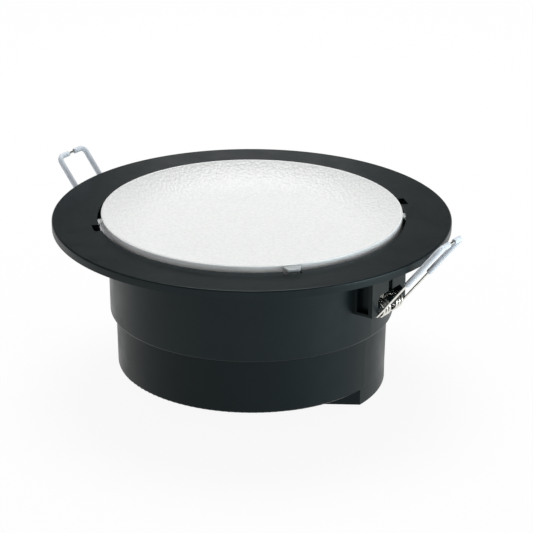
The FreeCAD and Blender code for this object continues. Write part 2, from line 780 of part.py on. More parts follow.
# ---------------------------------------------------------------- driver
def driver_case():
    body = rounded_box(driver_x, (-driver_half_y, driver_half_y), (can_floor_z, driver_top_z), 2.0)
    inner_x = (driver_x[0] + driver_wall, driver_x[1] - driver_wall)
    inner_y = driver_half_y - driver_wall
    body = body.cut(block(inner_x, (-inner_y, inner_y), (can_floor_z + driver_wall, driver_top_z + 1)))
    seat_z = can_floor_z + driver_board_rise
    solids = [body]
    for x in inner_x:
        for y in (-inner_y, inner_y):
            x_span = sorted((x, x + math.copysign(corner_post, -x + sum(inner_x) / 2)))
            y_span = sorted((y, y - math.copysign(corner_post, y)))
            solids.append(block(x_span, y_span, (can_floor_z + driver_wall / 2, seat_z)))
    ear_z = (can_floor_z + foot_h, can_floor_z + foot_h + ear_t)
    for side in (-1, 1):
        y_span = sorted((side * (driver_half_y - 0.5), side * (driver_half_y + ear_len)))
        ear = block((ear_x - ear_half_w, ear_x + ear_half_w), y_span, ear_z)
        place = Vector(ear_x, side * (driver_half_y + ear_len / 2), 0)
        solids.append(ear.cut(disc(screw_r + hole_play, ear_z[0] - 1, ear_z[1] + 1, place)))
    cuts = []
    for y in lead_lanes():
        start = Vector(driver_x[1] - driver_wall - 1, y, block_wire_z())
        cuts.append(Part.makeCylinder(lead_r + hole_play, driver_wall + 2, start, Vector(1, 0, 0)))
    return compartment(joined(solids).cut(cuts))


def driver_outlet():
    return Vector(driver_x[1] - outlet_inset_x, driver_half_y - outlet_inset_y, driver_top_z)


def driver_lid():
    plate = rounded_box(driver_x, (-driver_half_y, driver_half_y), (driver_top_z, driver_lid_z), 2.0)
    slot = disc(2 * lead_r + lead_gap / 2 + 0.6, driver_top_z - 1, driver_lid_z + 1, driver_outlet())
    return compartment(plate.cut(slot))


def board_area():
    inset = driver_wall + driver_board_play
    return ((driver_x[0] + inset, driver_x[1] - inset), (-driver_half_y + inset, driver_half_y - inset))


def driver_board_top():
    return can_floor_z + driver_board_rise + driver_board_t


def driver_board():
    x_span, y_span = board_area()
    low = can_floor_z + driver_board_rise
    return compartment(block(x_span, y_span, (low, low + driver_board_t)))


def driver_transformer():
    x_mid = sum(driver_x) / 2
    low = driver_board_top()
    core = block((x_mid - core_half_x, x_mid + core_half_x), (-core_half_y, core_half_y),
                 (low + core_rise, low + core_h))
    bobbin = block((x_mid - bobbin_half_x, x_mid + bobbin_half_x), (-bobbin_half_y, bobbin_half_y),
                   (low, low + bobbin_h))
    return compartment(core.fuse(bobbin))


def driver_capacitors():
    x_mid = sum(driver_x) / 2
    low = driver_board_top()
    cans = []
    for x, y, radius, height in zip(capacitor_x, capacitor_y, capacitor_r, capacitor_h):
        can = disc(radius, low, low + height, Vector(x_mid + x, y, 0))
        top = [e for e in can.Edges if abs(e.BoundBox.ZMin - low - height) < 1e-6]
        cans.append(compartment(can.makeFillet(capacitor_fillet, top)))
    return cans


def driver_screws():
    solids = []
    for side in (-1, 1):
        place = Vector(ear_x, side * (driver_half_y + ear_len / 2), can_floor_z + foot_h + ear_t)
        solids.append(compartment(moved(pan_screw(driver_screw_len), place)))
    return solids


# ---------------------------------------------------------------- leads
def mains_leads():
    """Two leads from the terminal block, through the pocket's wall, into the driver."""
    solids = []
    z = block_wire_z()
    for y in lead_lanes():
        ends = [Vector(block_x[0] + 3, y, z), Vector(driver_x[1] - driver_wall - lead_tail, y, z)]
        tube = Part.makeCylinder(lead_r, ends[0].x - ends[1].x, ends[1], Vector(1, 0, 0))
        solids.append(compartment(tube))
    return solids


def led_lead_lanes():
    middle = connector_place()
    return (middle - lead_gap / 2, middle + lead_gap / 2)


def led_leads():
    """Two leads from the board's connector, down through the plate, into the driver's lid."""
    angle = math.radians(bump_azimuth)
    outlet = driver_outlet()
    solids = []
    start_z = board_top_z + connector_h / 2
    travel_z = (spreader_low_z + driver_lid_z) / 2
    for x in led_lead_lanes():
        offset = x - connector_place()
        end = Vector((outlet.x + offset) * math.cos(angle) - outlet.y * math.sin(angle),
                     (outlet.x + offset) * math.sin(angle) + outlet.y * math.cos(angle), 0)
        points = [Vector(x, 0.5, start_z), Vector(x, lead_hole_y(), start_z),
                  Vector(x, lead_hole_y(), travel_z), Vector(end.x, end.y, travel_z),
                  Vector(end.x, end.y, driver_top_z - 3)]
        solids.append(lead(points))
    return solids


# ---------------------------------------------------------------- spring clips
def spring_frame():
    """Direction of the arm, and the point where the leg leaves the coil, at the spring's middle."""
    angle = math.radians(leg_angle)
    along = Vector(math.cos(angle), 0, math.sin(angle))
    leave = Vector(pivot_x + mean_coil_r * math.sin(angle), spring_shift,
                   pivot_z - mean_coil_r * math.cos(angle))
    return along, leave


def coil_point(turns_left, side):
    """Point and direction on the coil, that many turns before the leg leaves it."""
    pitch = (leg_half_w - coil_inner_y) / coil_turn_count
    angle = math.radians(leg_angle - 90) - 2 * math.pi * turns_left
    y = spring_shift + side * (leg_half_w - pitch * turns_left)
    point = Vector(pivot_x + mean_coil_r * math.cos(angle), y, pivot_z + mean_coil_r * math.sin(angle))
    rise = side * pitch / (2 * math.pi) if turns_left > 0 else 0.0
    direction = Vector(-mean_coil_r * math.sin(angle), rise, mean_coil_r * math.cos(angle))
    direction.normalize()
    return point, direction


def coil_edges(side):
    """Arcs of one half of the coil, from its inner end to the leg."""
    steps = [k / 4.0 for k in range(4 * coil_turn_count, -1, -1)]
    places = [coil_point(step, side) for step in steps]
    edges = []
    for (start, start_dir), (end, end_dir) in zip(places, places[1:]):
        edges += biarc(start, start_dir, end, end_dir)
    return edges


def loop_edges(from_len, sides, cross_y):
    """Leg, corner and crossbar edges on the given sides, from a length along the leg on."""
    along, leave = spring_frame()
    edges = []
    for side in sides:
        foot = leave + along * from_len + Y_AXIS * (side * leg_half_w)
        bend = leave + along * (leg_len - loop_corner_r) + Y_AXIS * (side * leg_half_w)
        turned_in = leave + along * leg_len + Y_AXIS * (side * (leg_half_w - loop_corner_r))
        edges.append(Part.LineSegment(foot, bend).toShape())
        edges.append(arc_through(bend, along, turned_in))
        inner = leave + along * leg_len + Y_AXIS * (side * cross_y)
        edges.append(Part.LineSegment(turned_in, inner).toShape())
    return edges


def clip_spring():
    """Coil halves, legs and crossbar: one unbroken wire."""
    start, direction = coil_point(coil_turn_count, 1)
    right = coil_edges(1) + loop_edges(0.0, (1,), 0.0)
    left = loop_edges(0.0, (-1,), 0.0)[::-1] + coil_edges(-1)[::-1]
    return swept(right + left, start, direction, wire_r)


def clip_sleeve(side):
    along, leave = spring_frame()
    start = leave + along * sleeve_start_len + Y_AXIS * (side * leg_half_w)
    edges = loop_edges(sleeve_start_len, (side,), sleeve_end_y)
    return swept(edges, start, along, sleeve_r).cut(swept(edges, start, along, sleeve_bore_r))


def anchor_hook():
    """Fixed middle bend of the spring, held in the bracket's slot."""
    low = Vector(pivot_x - mean_coil_r, spring_shift, pivot_z)
    top = Vector(hook_top_x, spring_shift, hook_top_z)
    lean = top - low
    length = lean.Length - hook_half_w
    lean.normalize()
    left, right = low + Y_AXIS * -hook_half_w, low + Y_AXIS * hook_half_w
    left_top, right_top = left + lean * length, right + lean * length
    crown = low + lean * (length + hook_half_w)
    edges = [Part.LineSegment(left, left_top).toShape(), Part.Arc(left_top, crown, right_top).toShape(),
             Part.LineSegment(right_top, right).toShape()]
    return swept(edges, left, lean, wire_r)


def least_self_gap():
    """Smallest air gap between the turns of the coil, measured on points along its line."""
    samples = []
    steps = 48
    for side in (-1, 1):
        for k in range(coil_turn_count * steps + 1):
            samples.append((side * (coil_turn_count * steps + 1) + k, coil_point(k / float(steps), side)[0]))
    least = 1e9
    for i, (order, point) in enumerate(samples):
        for other_order, other in samples[i + 1:]:
            if abs(other_order - order) > steps // 2:
                least = min(least, point.distanceToPoint(other))
    return least - 2 * wire_r


# ---------------------------------------------------------------- every node
def all_nodes():
    nodes = {
        "trim_housing": trim_housing(),
        "soffit_gasket": soffit_gasket(),
        "diffuser": diffuser(),
        "diffuser_seal": diffuser_seal(),
        "rear_can": rear_can(),
        "body_seal": body_seal(),
        "can_screws": can_screws(),
        "reflector": reflector(),
        "led_board": led_board(),
        "led_chips": led_chips(),
        "led_connector": led_connector(),
        "thermal_pad": thermal_pad(),
        "heat_spreader": heat_spreader(),
        "board_screws": board_screws(),
        "spreader_screws": spreader_screws(),
        "driver_case": driver_case(),
        "driver_lid": driver_lid(),
        "driver_board": driver_board(),
        "driver_transformer": driver_transformer(),
        "driver_capacitors": driver_capacitors(),
        "driver_screws": driver_screws(),
        "terminal_block": terminal_block(),
        "terminal_screws": terminal_screws(),
        "terminal_lid": terminal_lid(),
        "terminal_seal": terminal_seal(),
        "lid_screws": lid_screws(),
        "cable_grommet": cable_grommet(),
        "mains_leads": mains_leads(),
        "led_leads": led_leads(),
    }
    for name, azimuth in (("right", 0), ("left", 180)):
        nodes[name + "_clip_spring"] = rotated(clip_spring(), azimuth)
        nodes[name + "_anchor_hook"] = rotated(anchor_hook(), azimuth)
        nodes[name + "_front_sleeve"] = rotated(clip_sleeve(-1 if name == "right" else 1), azimuth)
        nodes[name + "_back_sleeve"] = rotated(clip_sleeve(1 if name == "right" else -1), azimuth)
    return nodes


os.makedirs("parts", exist_ok=True)
for node, shape in all_nodes().items():
    solid = Part.makeCompound(shape) if isinstance(shape, list) else shape
    solid.exportStep("parts/" + node + ".step")
    print(node, "valid" if solid.isValid() else "NOT VALID", len(solid.Solids), round(solid.Volume, 1))
print("least gap between the coil's turns: %.2f mm" % least_self_gap())
print("arm angle %.2f degrees" % leg_angle)
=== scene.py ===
import json
import math

import bmesh
import bpy
from mathutils import Matrix, Vector

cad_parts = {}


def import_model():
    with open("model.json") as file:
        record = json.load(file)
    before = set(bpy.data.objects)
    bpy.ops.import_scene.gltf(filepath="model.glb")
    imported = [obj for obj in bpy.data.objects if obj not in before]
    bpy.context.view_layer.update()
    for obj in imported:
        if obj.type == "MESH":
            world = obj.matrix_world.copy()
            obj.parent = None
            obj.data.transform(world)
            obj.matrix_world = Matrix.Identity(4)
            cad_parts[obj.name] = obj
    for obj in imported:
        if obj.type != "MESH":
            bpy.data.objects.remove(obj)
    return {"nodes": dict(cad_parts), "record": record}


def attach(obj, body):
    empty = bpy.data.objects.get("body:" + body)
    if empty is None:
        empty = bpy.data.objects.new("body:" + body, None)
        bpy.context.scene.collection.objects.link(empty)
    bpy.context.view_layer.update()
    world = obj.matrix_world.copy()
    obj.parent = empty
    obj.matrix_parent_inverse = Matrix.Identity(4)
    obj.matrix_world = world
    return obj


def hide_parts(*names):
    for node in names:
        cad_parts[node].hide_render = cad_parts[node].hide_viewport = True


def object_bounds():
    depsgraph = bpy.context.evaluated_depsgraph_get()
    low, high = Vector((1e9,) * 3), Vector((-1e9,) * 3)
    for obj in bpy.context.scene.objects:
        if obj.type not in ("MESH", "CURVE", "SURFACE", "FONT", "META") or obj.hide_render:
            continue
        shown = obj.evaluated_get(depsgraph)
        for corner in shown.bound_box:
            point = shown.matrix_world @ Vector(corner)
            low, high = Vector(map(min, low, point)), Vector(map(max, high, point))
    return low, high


# Round recessed downlight for an outdoor soffit: black moulded trim and can, opal dish, sprung
# wire clips. Sizes are millimetres and are turned into metres where a mesh or a finish is made.
# +Z is out of the soffit into the room, and the right clip is on +X.

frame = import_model()
cad_low, cad_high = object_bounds()
nodes = frame["nodes"]

MM = 0.001

# ---------------------------------------------------------------- sizes
# Trim flange. Z = 0 is its back, in the soffit's plane.
FLANGE_T = 4.7
FLANGE_R = 115.0
FLANGE_EDGE_FILLET = 0.9

# Skin over the flange's rounded upper edge: how far it reaches inwards and down, how far it
# stands off the moulding, and how far it goes into it.
EDGE_BAND_W = 1.6
EDGE_BAND_LOW_Z = 2.6
EDGE_SKIN = 0.012
EDGE_DEPTH = 0.4
EDGE_STEPS = 8
EDGE_SEGMENTS = 384

# Diffuser: rim, and the dish inside it with a flat floor and a curved wall.
RIM_R = 86.7
RIM_TOP_Z = 7.6
RIM_EDGE_R = 85.2
RIM_LOW_Z = -0.7
RIM_WALL = 2.0
RIM_CHAMFER = 0.3
RIM_TOP_ROUND = 0.45
RIM_LOW_ROUND = 0.3
DISH_FLOOR_R = 52.0
DISH_FLOOR_Z = -4.5
DISH_T = 2.0
DISH_RING_R = 26.0
DISH_OUTER_RING_R = 46.0
DISH_WALL_STEPS = 24
DISH_BACK_STEPS = 16
TURN_SEGMENTS = 256

# Bayonet lugs on the rim, each with a long shallow ramp beside it.
LUG_COUNT = 4
LUG_R = 92.4
LUG_T = 1.8
LUG_TOP_Z = 2.5
LUG_HALF_ANGLE = 2.3
LUG_AZIMUTH = 38.5
LUG_TAPER = 0.08
LUG_BEVEL = 0.3
LUG_STEPS = 6
RAMP_R = 88.1
RAMP_ANGLE = 24.0
RAMP_TAPER = 0.9
RAMP_STEPS = 24

# Finger tab on the rim.
TAB_AZIMUTH = -40.5
TAB_R = 91.6
TAB_LOW_Z = 5.1
TAB_T = 1.7
TAB_BASE_W = 10.2
TAB_TIP_W = 6.8
TAB_CORNER_R = 0.8
TAB_BEVEL = 0.35

# Spring clips: pivot, coil, the loop of two legs and a crossbar, and the hook in the bracket.
PIVOT_X = 90.4
PIVOT_Z = -28.8
SPRING_SHIFT = 1.5
WIRE_R = 0.7
WIRE_SIDES = 14
COIL_MEAN_R = 4.6
COIL_DROP = 1.0
COIL_TURNS = 3.393
COIL_INNER_Y = 2.25
COIL_STEPS = 96
TUCK_ANGLE = 110.0
LEG_OFFSET = 4.3
LEG_HALF_W = 11.8
LEG_LEN = 61.0
LEG_ANGLE = math.radians(51.54)
LEG_STEPS = 6
LOOP_CORNER_R = 3.6
LOOP_CORNER_STEPS = 8
HOOK_HALF_W = 1.15
HOOK_TOP_X = 90.6
HOOK_TOP_Z = -15.4
HOOK_STEPS = 12

# Soft tubes on the loops.
SLEEVE_R = 1.64
SLEEVE_BORE_R = 0.76
SLEEVE_START = 28.0
SLEEVE_END_Y = 2.6
SLEEVE_SIDES = 20
SLEEVE_END_STEPS = 6
SLEEVE_CORNER_STEPS = 12

# Angles, in degrees, past which two faces meet in a crease.
EDGE_CREASE = 35
DISH_CREASE = 40
WIRE_CREASE = 50
SLEEVE_CREASE = 60

BEVEL_STEPS = 3
BEVEL_ANGLE = 40.0
ROUND_STEPS = 5

# Radius below which a point lies on the axis, in millimetres, and the gap below which points
# are merged, in metres.
ON_AXIS = 1e-6
MERGE_DISTANCE = 1e-6


# ---------------------------------------------------------------- material nodes
class ShaderTree:
    """Shader nodes of a material or of the world, made one after another."""

    def __init__(self, owner):
        owner.use_nodes = True
        self.nodes = owner.node_tree.nodes
        self.links = owner.node_tree.links

    def add(self, kind, **values):
        node = self.nodes.new(kind)
        for key, value in values.items():
            setattr(node, key, value)
        return node

    def link(self, source, target):
        self.links.new(source, target)

    def remap(self, source, low, high, to_low, to_high):
        node = self.add("ShaderNodeMapRange")
        for key, value in (("From Min", low), ("From Max", high),
                           ("To Min", to_low), ("To Max", to_high)):
            node.inputs[key].default_value = value
        self.link(source, node.inputs["Value"])
        return node.outputs["Result"]

    def math(self, operation, a, b):
        """A sum or the like of two sockets, or of a socket and a number."""
        node = self.add("ShaderNodeMath", operation=operation)
        for socket, value in zip(node.inputs, (a, b)):
            if isinstance(value, (int, float)):
                socket.default_value = value
            else:
                self.link(value, socket)
        return node.outputs["Value"]

    def height(self, place):
        """The Z of a place or direction."""
        axis = self.add("ShaderNodeSeparateXYZ")
        self.link(place, axis.inputs["Vector"])
        return axis.outputs["Z"]


class MaterialTree(ShaderTree):
    """A material whose patterns lie on Object coordinates."""

    def __init__(self, name):
        self.material = bpy.data.materials.new(name)
        super().__init__(self.material)
        self.shader = self.nodes["Principled BSDF"]
        self.place = self.add("ShaderNodeTexCoord").outputs["Object"]

    def noise(self, size, detail=2.0, rough=0.5, stretch=None):
        """Noise whose blotches are about size millimetres wide."""
        node = self.add("ShaderNodeTexNoise")
        node.inputs["Scale"].default_value = 1 / (size * MM)
        node.inputs["Detail"].default_value = detail
        node.inputs["Roughness"].default_value = rough
        source = self.place
        if stretch:
            mapping = self.add("ShaderNodeMapping")
            mapping.inputs["Scale"].default_value = stretch
            self.link(source, mapping.inputs["Vector"])
            source = mapping.outputs["Vector"]
        self.link(source, node.inputs["Vector"])
        return node.outputs["Fac"]

    def cells(self, size, smooth=0.0):
        """Cells about size millimetres wide, run together where smooth is above 0."""
        node = self.add("ShaderNodeTexVoronoi", feature="SMOOTH_F1" if smooth else "F1")
        node.inputs["Scale"].default_value = 1 / (size * MM)
        if smooth:
            node.inputs["Smoothness"].default_value = smooth
        self.link(self.place, node.inputs["Vector"])
        return node.outputs["Distance"]

    def spread(self, noise, low=0.0, high=1.0):
        """A noise's usual values, 0.3 to 0.7, spread from low to high."""
        return self.remap(noise, 0.3, 0.7, low, high)

    def blend(self, share, dark, light):
        """Colour from dark to light, each a tuple or a socket."""
        node = self.add("ShaderNodeMix", data_type="RGBA")
        for key, value in (("A", dark), ("B", light)):
            socket = [s for s in node.inputs if s.name == key and s.type == "RGBA"][0]
            if isinstance(value, tuple):
                socket.default_value = (*value, 1)
            else:
                self.link(value, socket)
        self.link(share, node.inputs["Factor"])
        return [s for s in node.outputs if s.type == "RGBA"][0]

    def bump(self, height, depth, strength=1.0):
        """Relief depth millimetres deep."""
        node = self.add("ShaderNodeBump")
        node.inputs["Strength"].default_value = strength
        node.inputs["Distance"].default_value = depth * MM
        self.link(height, node.inputs["Height"])
        return node.outputs["Normal"]

    def set(self, **values):
        """Fixed values on the shader's own sockets."""
        for key, value in values.items():
            self.shader.inputs[key.replace("_", " ")].default_value = value

    def finish(self, colour, roughness=None, normal=None):
        for key, value in (("Base Color", colour), ("Roughness", roughness), ("Normal", normal)):
            if value is not None:
                self.link(value, self.shader.inputs[key])
        return self.material


# Satin plastic of the diffuser's thin rim, lugs and tab, in which light spreads.
CLEAR_PLASTIC = {
    "Specular_IOR_Level": 0.6,
    "Coat_Weight": 0.3,
    "Coat_Roughness": 0.1,
    "Subsurface_Weight": 0.8,
    "Subsurface_Radius": (1.0, 1.0, 1.0),
    "Subsurface_Scale": 2.5 * MM,
}

# Tint of a moulding's sheen: cool on the black ones, none on the others.
COOL = (0.84, 0.99, 1.0)
PLAIN = (1.0, 1.0, 1.0)

# Rolled sheet shows its marks along X, a turned screw along Z.
ALONG_SHEET = (0.04, 1.0, 1.0)
ALONG_SCREW = (1.0, 1.0, 0.3)


def shade(colour, factor):
    """The colour made darker or lighter."""
    return tuple(min(1.0, c * factor) for c in colour)


def moulded(name, colour, roughness, grain, depth, specular=0.5, drift=0.04, tint=PLAIN):
    """Moulded plastic: fine spark grain, slow drift in tone and sheen."""
    tree = MaterialTree(name)
    tone = tree.math("MULTIPLY", tree.noise(26.0, detail=3.0), 0.75)
    speck = tree.math("MULTIPLY", tree.noise(grain * 2.2), 0.25)
    paint = tree.blend(tree.spread(tree.math("ADD", tone, speck)),
                       shade(colour, 1 - drift), shade(colour, 1 + drift))
    sheen = tree.spread(tree.noise(14.0, detail=3.0), roughness - 0.04, roughness + 0.05)
    relief = tree.bump(tree.noise(grain, detail=3.0, rough=0.6), depth)
    tree.set(Specular_IOR_Level=specular, Specular_Tint=(*tint, 1.0))
    return tree.finish(paint, sheen, relief)


def opal_dish():
    """Opal acrylic with a fine pebbled face."""
    tree = MaterialTree("opal_pebbled")
    pebble = tree.cells(1.7, smooth=0.6)
    fine = tree.noise(0.9)
    cloud = tree.math("ADD", pebble, tree.math("MULTIPLY", tree.noise(3.5), 0.3))
    paint = tree.blend(tree.remap(cloud, 0.2, 0.9, 0.0, 1.0),
                       (0.935, 0.945, 0.935), (0.845, 0.858, 0.850))
    relief = tree.math("ADD", tree.math("MULTIPLY", pebble, 0.8),
                       tree.math("MULTIPLY", fine, 0.35))
    tree.set(Specular_IOR_Level=0.4)
    return tree.finish(paint, tree.spread(fine, 0.34, 0.46), tree.bump(relief, 0.38))


def opal_rim():
    """Clear satin rim, its colour painted by height: a painted highlight at its foot and at its
    top, and painted shade between for the dark trim seen through it.
    """
    tree = MaterialTree("opal_rim")
    z = tree.height(tree.place)
    # Painted shade: the rim greys from its foot upwards, for the dark trim seen through the clear
    # plastic.
    body = tree.remap(z, (FLANGE_T - 0.2) * MM, (RIM_TOP_Z - 0.5) * MM, 0.0, 1.0)
    # Painted highlight: a pale band along the rim's top.
    painted_top_highlight = tree.remap(z, (RIM_TOP_Z - 0.55) * MM, (RIM_TOP_Z - 0.1) * MM, 0.0, 1.0)
    side = tree.blend(body, (0.98, 0.99, 1.0), (0.84, 0.87, 0.89))
    paint = tree.blend(painted_top_highlight, side, (0.95, 0.96, 0.96))
    tree.set(**CLEAR_PLASTIC)
    return tree.finish(paint, tree.spread(tree.noise(6.0), 0.16, 0.26),
                       tree.bump(tree.noise(2.4), 0.02))


def opal_clear(name, dark, light):
    """Lugs and finger tab: the same clear satin plastic, thinner; the tab's copy is painted darker
    as shade.
    """
    tree = MaterialTree(name)
    paint = tree.blend(tree.spread(tree.noise(3.0)), dark, light)
    tree.set(**CLEAR_PLASTIC)
    return tree.finish(paint, tree.spread(tree.noise(2.0), 0.2, 0.3),
                       tree.bump(tree.noise(1.2), 0.015))


def drawn_wire():
    """Bright drawn spring wire with faint die lines."""
    tree = MaterialTree("spring_steel")
    colour = (0.80, 0.79, 0.74)
    lines = tree.noise(0.35, stretch=(1.0, 1.0, 0.35))
    paint = tree.blend(tree.spread(tree.noise(5.0)), shade(colour, 0.88), shade(colour, 1.1))
    tree.set(Metallic=1.0)
    return tree.finish(paint, tree.spread(lines, 0.10, 0.24), tree.bump(lines, 0.006))


def soft_tube():
    """Pale milky tube with a faint bluish cast."""
    tree = MaterialTree("sleeve_white")
    paint = tree.blend(tree.spread(tree.noise(4.0, detail=3.0)),
                       (0.66, 0.71, 0.78), (0.74, 0.79, 0.85))
    tree.set(Specular_IOR_Level=0.5)
    return tree.finish(paint, tree.spread(tree.noise(1.5), 0.26, 0.38),
                       tree.bump(tree.noise(1.1), 0.02))


def foam(name, colour):
    """Closed cell foam: crowded small pores, painted darker in their hollows and lighter on the
    ridges between, as painted shade and light.
    """
    tree = MaterialTree(name)
    pores = tree.cells(0.9)
    # Painted shade and light: each pore is darker in its hollow and lighter on its rim.
    paint = tree.blend(tree.remap(pores, 0.1, 0.5, 0.0, 1.0),
                       shade(colour, 0.5), shade(colour, 1.4))
    return tree.finish(paint, tree.remap(pores, 0.0, 0.6, 0.95, 0.8),
                       tree.bump(pores, 0.18, strength=0.8))


def rubber(name, colour, roughness, specular=0.5):
    """Rubber, silicone or soft insulation with a faint bloom."""
    tree = MaterialTree(name)
    bloom = tree.remap(tree.noise(7.0, detail=4.0), 0.35, 0.7, 0.0, 1.0)
    paint = tree.blend(bloom, shade(colour, 0.85), shade(colour, 1.2))
    tree.set(Specular_IOR_Level=specular)
    return tree.finish(paint, tree.spread(tree.noise(2.5), roughness - 0.06, roughness + 0.08),
                       tree.bump(tree.noise(0.6), 0.015))


def marked_metal(name, colour, roughness, size, direction):
    """Sheet or turned metal with fine marks along one direction."""
    tree = MaterialTree(name)
    marks = tree.noise(size, detail=3.0, rough=0.6, stretch=direction)
    paint = tree.blend(tree.spread(tree.noise(12.0, detail=3.0)),
                       shade(colour, 0.9), shade(colour, 1.08))
    tree.set(Metallic=1.0)
    return tree.finish(paint, tree.spread(marks, roughness - 0.08, roughness + 0.1),
                       tree.bump(marks, 0.006))


def laminate(name, colour, speck):
    """Board laminate under solder mask: a faint weave and small tone changes."""
    tree = MaterialTree(name)
    weave = tree.math("ADD", tree.noise(0.5, detail=1.0, stretch=(1.0, 0.2, 1.0)),
                      tree.noise(0.5, detail=1.0, stretch=(0.2, 1.0, 1.0)))
    paint = tree.blend(tree.remap(weave, 0.8, 1.2, 0.0, 1.0), colour, speck)
    return tree.finish(paint, tree.remap(weave, 0.8, 1.2, 0.3, 0.42), tree.bump(weave, 0.01))


def phosphor():
    """Yellow phosphor of the light chips, slightly gritty."""
    tree = MaterialTree("chip_phosphor")
    grit = tree.noise(0.25)
    paint = tree.blend(tree.spread(grit), (0.80, 0.62, 0.12), (0.90, 0.76, 0.24))
    return tree.finish(paint, tree.spread(grit, 0.3, 0.45), tree.bump(grit, 0.02))


finishes = {
    "trim_black": moulded("trim_black", (0.0058, 0.0100, 0.0114), roughness=0.34, grain=0.5,
                          depth=0.02, specular=0.20, drift=0.12, tint=COOL),
    "can_black": moulded("can_black", (0.0062, 0.0100, 0.0110), roughness=0.38, grain=0.9,
                         depth=0.008, specular=0.14, drift=0.08, tint=COOL),
    "opal": opal_dish(),
    "opal_rim": opal_rim(),
    "opal_clear": opal_clear("opal_clear", (0.74, 0.77, 0.78), (0.84, 0.87, 0.88)),
    # The tab's copy is painted darker than the lugs': painted shade for the dark flange seen
    # through the thin clear tab.
    "opal_tab": opal_clear("opal_tab", (0.44, 0.47, 0.48), (0.54, 0.57, 0.58)),
    "spring_steel": drawn_wire(),
    "sleeve_white": soft_tube(),
    "foam_black": foam("foam_black", (0.020, 0.020, 0.021)),
    "seal_silicone": rubber("seal_silicone", (0.50, 0.51, 0.51), roughness=0.35),
    "zinc_screw": marked_metal("zinc_screw", (0.56, 0.57, 0.56), roughness=0.34, size=0.3,
                               direction=ALONG_SCREW),
    "reflector_white": moulded("reflector_white", (0.86, 0.86, 0.85), roughness=0.3, grain=0.6,
                               depth=0.006, drift=0.03),
    "board_white": laminate("board_white", (0.78, 0.79, 0.78), (0.84, 0.85, 0.84)),
    "chip_phosphor": phosphor(),
    "plate_aluminium": marked_metal("plate_aluminium", (0.62, 0.63, 0.64), roughness=0.36,
                                    size=0.4, direction=ALONG_SHEET),
    "pad_grey": rubber("pad_grey", (0.30, 0.31, 0.33), roughness=0.7, specular=0.3),
    "driver_white": moulded("driver_white", (0.68, 0.68, 0.66), roughness=0.45, grain=0.8,
                            depth=0.015),
    "board_green": laminate("board_green", (0.020, 0.115, 0.048), (0.030, 0.160, 0.066)),
    "winding_yellow": rubber("winding_yellow", (0.58, 0.42, 0.07), roughness=0.35),
    "capacitor_black": moulded("capacitor_black", (0.026, 0.026, 0.040), roughness=0.25,
                               grain=1.4, depth=0.006, drift=0.1),
    "terminal_white": moulded("terminal_white", (0.76, 0.76, 0.73), roughness=0.42, grain=0.7,
                              depth=0.012),
    "grommet_black": rubber("grommet_black", (0.022, 0.022, 0.022), roughness=0.6, specular=0.4),
    "lead_white": rubber("lead_white", (0.74, 0.74, 0.72), roughness=0.4),
    "lead_red": rubber("lead_red", (0.42, 0.025, 0.018), roughness=0.4),
}

# The CAD nodes that stay take the finish of their slot.
for row in frame["record"]["subparts"]:
    shown = nodes[row["node"]].data
    shown.materials.clear()
    shown.materials.append(finishes[row["material_slot"]])


# ---------------------------------------------------------------- meshes
def placed(name, data):
    """A new object in the scene, at the origin."""
    made = bpy.data.objects.new(name, data)
    bpy.context.scene.collection.objects.link(made)
    return made


def evaluated_mesh(piece):
    """The mesh that the piece's modifiers make."""
    bpy.context.view_layer.update()
    graph = bpy.context.evaluated_depsgraph_get()
    return bpy.data.meshes.new_from_object(piece.evaluated_get(graph))


def mesh_piece(name, verts, faces, materials, smooth=True):
    """An object from points in millimetres. Each face is (corners, material index)."""
    mesh = bpy.data.meshes.new(name)
    mesh.from_pydata([Vector(v) * MM for v in verts], [], [corners for corners, _ in faces])
    for polygon, (_, index) in zip(mesh.polygons, faces):
        polygon.material_index = index
        polygon.use_smooth = smooth
    for material in materials:
        mesh.materials.append(material)
    mesh.update()
    return placed(name, mesh)


def path_object(points):
    """A line of edges through points in millimetres."""
    mesh = bpy.data.meshes.new("path")
    edges = [(i, i + 1) for i in range(len(points) - 1)]
    mesh.from_pydata([Vector(p) * MM for p in points], edges, [])
    return placed("path", mesh)


def sharpen(piece, angle):
    """Smooth faces with creases where they meet more sharply than angle, in degrees."""
    for polygon in piece.data.polygons:
        polygon.use_smooth = True
    piece.data.set_sharp_from_angle(angle=math.radians(angle))
    return piece


def outward(piece):
    """Merge doubles and turn every face outwards."""
    body = bmesh.new()
    body.from_mesh(piece.data)
    bmesh.ops.remove_doubles(body, verts=body.verts, dist=MERGE_DISTANCE)
    bmesh.ops.recalc_face_normals(body, faces=body.faces)
    body.to_mesh(piece.data)
    body.free()
    return piece


def bevelled(piece, width):
    """Small rounded edges, width millimetres wide."""
    modifier = piece.modifiers.new("edges", "BEVEL")
    modifier.width = width * MM
    modifier.segments = BEVEL_STEPS
    modifier.limit_method = "ANGLE"
    modifier.angle_limit = math.radians(BEVEL_ANGLE)
    mesh, old = evaluated_mesh(piece), piece.data
    piece.modifiers.remove(modifier)
    piece.data = mesh
    bpy.data.meshes.remove(old)
    return piece


def merged(name, pieces):
    """One object that holds the meshes of several, which are removed."""
    materials = []
    body = bmesh.new()
    for piece in pieces:
        for material in piece.data.materials:
            if material not in materials:
                materials.append(material)
        index = [materials.index(m) for m in piece.data.materials]
        part = bmesh.new()
        part.from_mesh(piece.data)
        for face in part.faces:
            face.material_index = index[face.material_index]
        held = bpy.data.meshes.new("held")
        part.to_mesh(held)
        part.free()
        body.from_mesh(held)
        bpy.data.meshes.remove(held)
        bpy.data.objects.remove(piece)
    mesh = bpy.data.meshes.new(name)
    for material in materials:
        mesh.materials.append(material)
    body.to_mesh(mesh)
    body.free()
    return placed(name, mesh)


def add_piece(piece, body, slot, *replaced):
    """The piece rides on a body and stands for the replaced nodes, which are hidden. The slot is
    not used.
    """
    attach(piece, body)
    if replaced:
        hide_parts(*replaced)
    return piece


